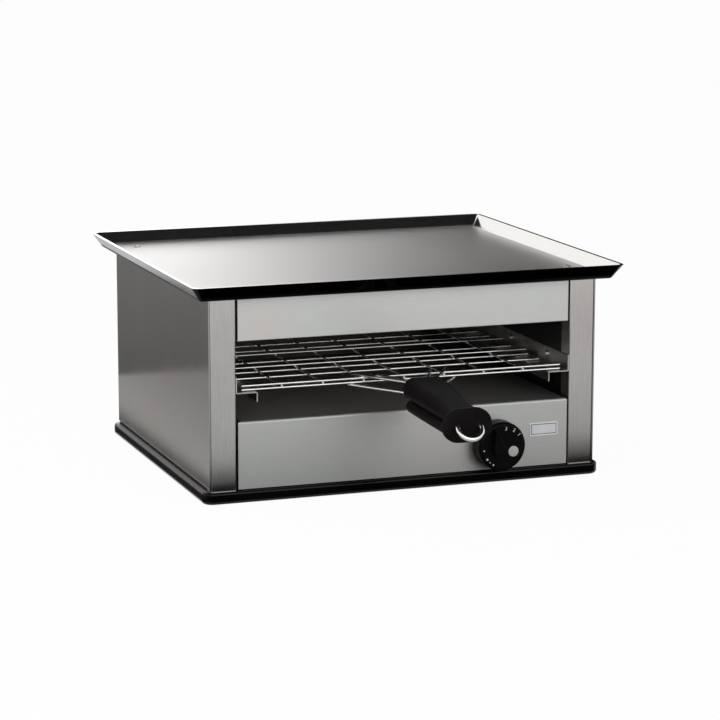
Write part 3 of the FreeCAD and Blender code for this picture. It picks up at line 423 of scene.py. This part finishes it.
def knob_dots(material):
    mesh = bpy.data.meshes.new("knob_dots")
    grid = bmesh.new()
    for angle, radius in DOTS:
        place = Matrix.Translation(on_knob(angle, DOT_RING)) @ Matrix.Rotation(math.pi / 2, 4, "X")
        bmesh.ops.create_cone(grid, cap_ends=True, segments=20, radius1=radius, radius2=radius * 0.85,
                              depth=2 * MARK_RISE, matrix=place)
    grid.to_mesh(mesh)
    grid.free()
    dots = bpy.data.objects.new("knob_marks", mesh)
    bpy.context.scene.collection.objects.link(dots)
    mesh.materials.append(material)
    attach(dots, "knob")


def knob_marks():
    white = marking_white()
    for text, angle, ring in DIGITS:
        knob_digit(text, angle, ring, white)
    knob_dots(white)


# Printed frame on the blank plate

PLATE_RISE = 0.00015
PLATE_CORNER = 0.0016
CORNER_STEPS = 6


def round_corners(half_x, half_z, radius):
    """Outline of a rectangle with round corners, counter-clockwise."""
    points = []
    for sx, sz, first in ((1, 1, 0), (-1, 1, 90), (-1, -1, 180), (1, -1, 270)):
        for step in range(CORNER_STEPS + 1):
            turn = math.radians(first + 90 * step / CORNER_STEPS)
            points.append((sx * (half_x - radius) + radius * math.cos(turn),
                           sz * (half_z - radius) + radius * math.sin(turn)))
    return points


def plate_frame(name, inset, width, material):
    """Flat printed line that follows the plate's edge, inset from it."""
    low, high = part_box("blank_plate")
    centre_x, centre_z = (low.x + high.x) / 2, (low.z + high.z) / 2
    half_x, half_z = (high.x - low.x) / 2, (high.z - low.z) / 2
    rings = []
    grid = bmesh.new()
    for step in (inset, inset + width):
        for rise in (0.0, PLATE_RISE):
            outline = round_corners(half_x - step, half_z - step, max(PLATE_CORNER - step, 0.0003))
            rings.append([grid.verts.new((centre_x + x, low.y - rise, centre_z + z)) for x, z in outline])
    outer_low, outer_high, inner_low, inner_high = rings
    for first, second in ((outer_low, outer_high), (outer_high, inner_high), (inner_high, inner_low)):
        for i in range(len(first)):
            j = (i + 1) % len(first)
            grid.faces.new((first[i], first[j], second[j], second[i]))
    bmesh.ops.recalc_face_normals(grid, faces=grid.faces)
    mesh = bpy.data.meshes.new(name)
    grid.to_mesh(mesh)
    grid.free()
    obj = bpy.data.objects.new(name, mesh)
    bpy.context.scene.collection.objects.link(obj)
    mesh.materials.append(material)
    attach(obj, "body")


def plate_frames():
    plate_frame("plate_border", 0.0002, 0.0011, plate_edge())
    plate_frame("plate_outline", 0.0016, 0.0008, plate_line())


# Studio

def card(name, corners, stops, axis=0):
    """A reflection card that only gloss sees. Its light follows the stops, pairs of place and strength."""
    mesh = bpy.data.meshes.new(name)
    mesh.from_pydata([Vector(c) for c in corners], [], [tuple(range(len(corners)))])
    obj = bpy.data.objects.new(name, mesh)
    bpy.context.scene.collection.objects.link(obj)
    material = bpy.data.materials.new(name)
    material.use_nodes = True
    tree = material.node_tree
    tree.nodes.clear()
    out = tree.nodes.new("ShaderNodeOutputMaterial")
    glow = tree.nodes.new("ShaderNodeEmission")
    tree.links.new(glow.outputs["Emission"], out.inputs["Surface"])
    first, last = stops[0][0], stops[-1][0]
    brightest = max(strength for place, strength in stops)
    glow.inputs["Strength"].default_value = brightest
    coords = tree.nodes.new("ShaderNodeTexCoord")
    split = tree.nodes.new("ShaderNodeSeparateXYZ")
    ranged = tree.nodes.new("ShaderNodeMapRange")
    ranged.inputs["From Min"].default_value = first
    ranged.inputs["From Max"].default_value = last
    ramp = tree.nodes.new("ShaderNodeValToRGB")
    while len(ramp.color_ramp.elements) < len(stops):
        ramp.color_ramp.elements.new(1.0)
    for element, (place, strength) in zip(ramp.color_ramp.elements, stops):
        element.position = (place - first) / (last - first)
        element.color = (*[strength / brightest] * 3, 1.0)
    tree.links.new(coords.outputs["Object"], split.inputs["Vector"])
    tree.links.new(split.outputs[axis], ranged.inputs["Value"])
    tree.links.new(ranged.outputs["Result"], ramp.inputs["Fac"])
    tree.links.new(ramp.outputs["Color"], glow.inputs["Color"])
    mesh.materials.append(material)
    obj.visible_camera = False
    obj.visible_diffuse = False
    obj.visible_shadow = False
    obj.visible_transmission = False


def upright(x0, x1, y, z0, z1):
    return [(x0, y, z0), (x1, y, z0), (x1, y, z1), (x0, y, z1)]


def level(x0, x1, y0, y1, z):
    return [(x0, y0, z), (x1, y0, z), (x1, y1, z), (x0, y1, z)]


def cards():
    # Behind: white on the left, dark on the right, so that the griddle fades from left to right
    card("card_behind", upright(-3.0, 4.0, 2.0, 0.05, 2.4),
         ((-3.0, 1.1), (-0.1, 1.25), (0.20, 2.05), (0.31, 1.95), (0.45, 1.44), (0.55, 1.00), (0.65, 0.73),
          (0.75, 0.51), (0.85, 0.29), (0.95, 0.11), (1.05, 0.02), (1.3, 0.01), (4.0, 0.01)))
    card("card_above", level(-1.4, 2.2, -1.3, 1.0, 1.6), ((-1.4, 0.02), (2.2, 0.01)))
    card("card_front", upright(-1.6, 2.2, -2.6, 0.20, 1.8), ((-1.6, 1.9), (2.2, 1.9)))
    # The pale counter on the left ends half a metre behind the front, and the floor beyond is dark. Next to the
    # body the card dims to a painted shadow of the object.
    card("card_counter_left", level(-1.4, -0.234, -0.3, 0.525, 0.002),
         ((-1.4, 0.30), (-0.50, 0.29), (-0.40, 0.34), (-0.30, 0.46), (-0.268, 0.56), (-0.252, 0.10),
          (-0.234, 0.04)))
    card("card_beyond_left", level(-1.6, -0.234, 0.525, 1.98, 0.002),
         ((0.525, 0.15), (0.80, 0.19), (1.20, 0.22), (1.98, 0.25)), 1)
    # Next to the base the front card dims to a painted shadow of the object.
    card("card_counter_front", level(-1.0, 1.4, -1.7, -0.197, 0.002),
         ((-1.70, 0.58), (-1.16, 0.57), (-0.72, 0.58), (-0.43, 0.49), (-0.37, 0.42), (-0.33, 0.25),
          (-0.29, 0.145), (-0.27, 0.10), (-0.262, 0.005), (-0.197, 0.002)), 1)


def floor_material():
    material = bpy.data.materials.new("floor_pale")
    material.use_nodes = True
    tree = material.node_tree
    shader = tree.nodes["Principled BSDF"]
    shader.inputs["Base Color"].default_value = (0.88, 0.88, 0.88, 1.0)
    shader.inputs["Roughness"].default_value = 0.9
    glow = tree.nodes.new("ShaderNodeEmission")
    glow.inputs["Strength"].default_value = 1.0
    path = tree.nodes.new("ShaderNodeLightPath")
    seen = ray_share(tree, path, FLOOR_GLOW)
    mix = tree.nodes.new("ShaderNodeMixShader")
    tree.links.new(seen, mix.inputs["Fac"])
    tree.links.new(shader.outputs["BSDF"], mix.inputs[1])
    tree.links.new(glow.outputs["Emission"], mix.inputs[2])
    tree.links.new(mix.outputs["Shader"], tree.nodes["Material Output"].inputs["Surface"])
    return material


def ray_share(tree, path, share):
    """share for rays from the camera, in gloss or through glass, and 0 for the others."""
    total = None
    for name in ("Is Camera Ray", "Is Glossy Ray", "Is Transmission Ray"):
        if total is None:
            total = path.outputs[name]
            continue
        node = tree.nodes.new("ShaderNodeMath")
        node.operation = "MAXIMUM"
        tree.links.new(total, node.inputs[0])
        tree.links.new(path.outputs[name], node.inputs[1])
        total = node.outputs["Value"]
    scaled = tree.nodes.new("ShaderNodeMath")
    scaled.operation = "MULTIPLY"
    scaled.inputs[1].default_value = share
    tree.links.new(total, scaled.inputs[0])
    return scaled.outputs["Value"]


FLOOR_GLOW = 0.96
FLOOR_HALF = 12.0


def floor():
    mesh = bpy.data.meshes.new("floor")
    mesh.from_pydata([(-FLOOR_HALF, -FLOOR_HALF, 0), (FLOOR_HALF, -FLOOR_HALF, 0),
                      (FLOOR_HALF, FLOOR_HALF, 0), (-FLOOR_HALF, FLOOR_HALF, 0)], [], [(0, 1, 2, 3)])
    obj = bpy.data.objects.new("floor", mesh)
    bpy.context.scene.collection.objects.link(obj)
    mesh.materials.append(floor_material())
    obj.location.z = -0.0003


def world():
    made = bpy.data.worlds.new("studio")
    bpy.context.scene.world = made
    made.use_nodes = True
    tree = made.node_tree
    background = tree.nodes["Background"]
    background.inputs["Color"].default_value = (1.0, 1.0, 1.0, 1.0)
    path = tree.nodes.new("ShaderNodeLightPath")
    seen = ray_share(tree, path, 1.0)
    ranged = tree.nodes.new("ShaderNodeMapRange")
    ranged.inputs["To Min"].default_value = 0.45
    ranged.inputs["To Max"].default_value = 1.0
    tree.links.new(seen, ranged.inputs["Value"])
    tree.links.new(ranged.outputs["Result"], background.inputs["Strength"])


def lamp(name, place, target, size, power):
    light = bpy.data.lights.new(name, "AREA")
    light.shape = "RECTANGLE"
    light.size, light.size_y = size
    light.energy = power
    obj = bpy.data.objects.new(name, light)
    bpy.context.scene.collection.objects.link(obj)
    obj.location = place
    obj.rotation_euler = (Vector(target) - Vector(place)).to_track_quat("-Z", "Y").to_euler()
    obj.visible_camera = False
    obj.visible_glossy = False
    return obj


def lamps():
    lamp("lamp_left", (-1.9, -0.6, 1.5), (0.0, 0.0, 0.1), (1.4, 1.2), 26.0)
    lamp("lamp_front", (0.9, -2.4, 1.4), (0.0, 0.0, 0.1), (1.6, 1.2), 14.0)


def camera():
    data = bpy.data.cameras.new("camera")
    data.sensor_width = SENSOR_WIDTH
    data.lens = FOCAL_LENGTH
    data.clip_end = 60.0
    obj = bpy.data.objects.new("camera", data)
    bpy.context.scene.collection.objects.link(obj)
    obj.location = CAMERA_PLACE
    turn = Matrix.Rotation(-CAMERA_YAW, 3, "Z") @ Matrix.Rotation(math.pi / 2 - CAMERA_PITCH, 3, "X")
    obj.rotation_euler = (turn @ Matrix.Rotation(CAMERA_ROLL, 3, "Z")).to_euler()
    bpy.context.scene.camera = obj


dress_nodes()
knob_marks()
plate_frames()
cards()
floor()
world()
lamps()
camera()
bpy.context.scene.view_settings.view_transform = "Standard"


def corners(box):
    return [list(corner) for corner in box]
